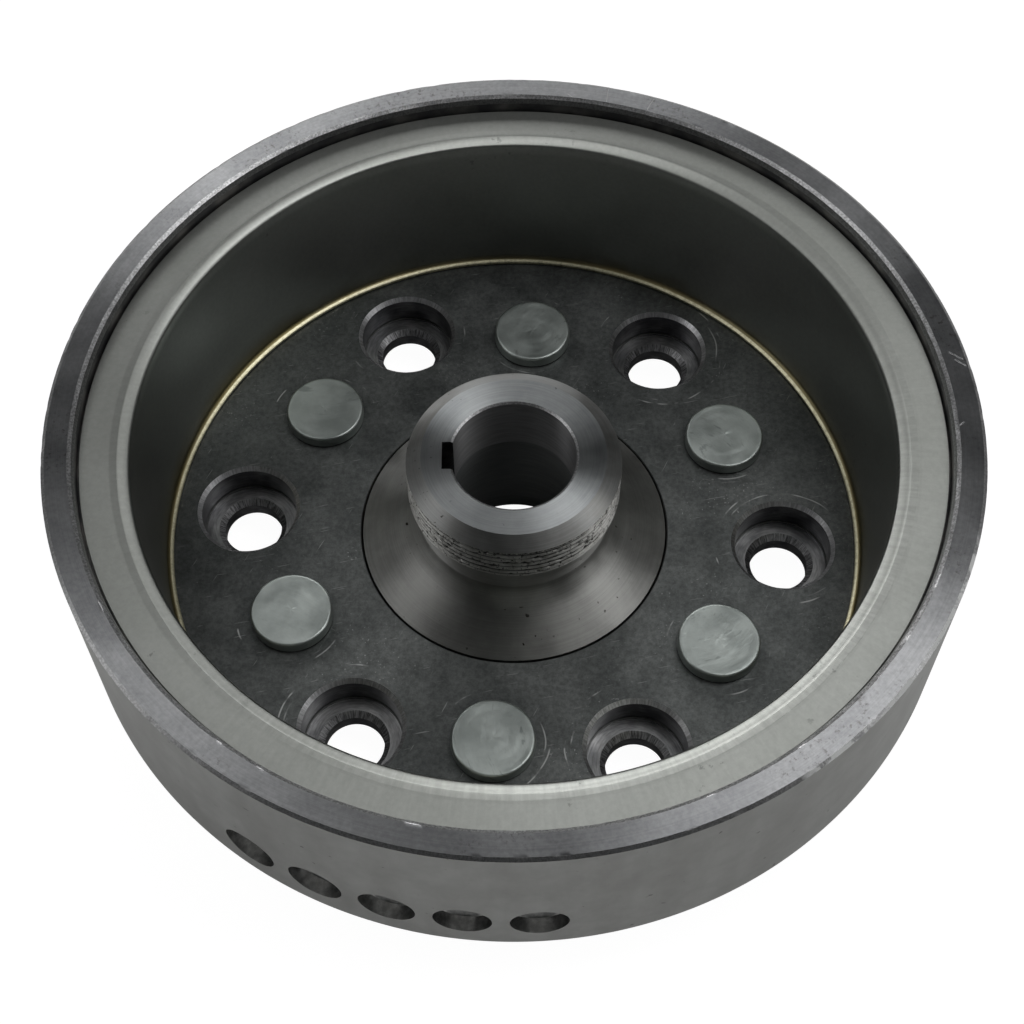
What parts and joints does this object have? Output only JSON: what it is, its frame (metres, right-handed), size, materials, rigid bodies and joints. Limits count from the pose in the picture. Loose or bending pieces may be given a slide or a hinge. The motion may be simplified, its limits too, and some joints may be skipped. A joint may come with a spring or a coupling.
{
  "type": "magneto flywheel",
  "caption": "Cup-shaped engine flywheel and alternator rotor: magnets behind a thin liner, floor riveted to a hub with tapered bore, keyway and puller thread.",
  "frame": {"origin": "on the crankshaft axis, at the hub's lower end face, which is the lowest point of the part", "axes": "+Z along the crankshaft axis towards the drum's open side, where the crank nut goes; the keyway is on the -X side; the row of balance drillings is at about 105 degrees clockwise from +X"},
  "size_m": [0.14, 0.14, 0.0445],
  "materials": {
    "drum_steel": "turned on the rim and wall, dark pickled on the floor",
    "hub_steel": "turned, worn thread",
    "rivet_zinc": "zinc plated, satin",
    "liner_steel": "satin drawn sheet",
    "magnet_ferrite": "matt sintered",
    "cage_plastic": "moulded"
  },
  "bodies": {
    "root": {"rotor_shell": "drum_steel", "hub": "hub_steel", "rivet_1": "rivet_zinc", "rivet_2": "rivet_zinc", "rivet_3": "rivet_zinc", "rivet_4": "rivet_zinc", "rivet_5": "rivet_zinc", "rivet_6": "rivet_zinc", "magnet_liner": "liner_steel", "magnet_cage": "cage_plastic", "magnet_1": "magnet_ferrite", "magnet_2": "magnet_ferrite", "magnet_3": "magnet_ferrite", "magnet_4": "magnet_ferrite", "magnet_5": "magnet_ferrite", "magnet_6": "magnet_ferrite", "magnet_7": "magnet_ferrite", "magnet_8": "magnet_ferrite", "magnet_9": "magnet_ferrite", "magnet_10": "magnet_ferrite", "magnet_11": "magnet_ferrite", "magnet_12": "magnet_ferrite"}
  },
  "joints": []
}
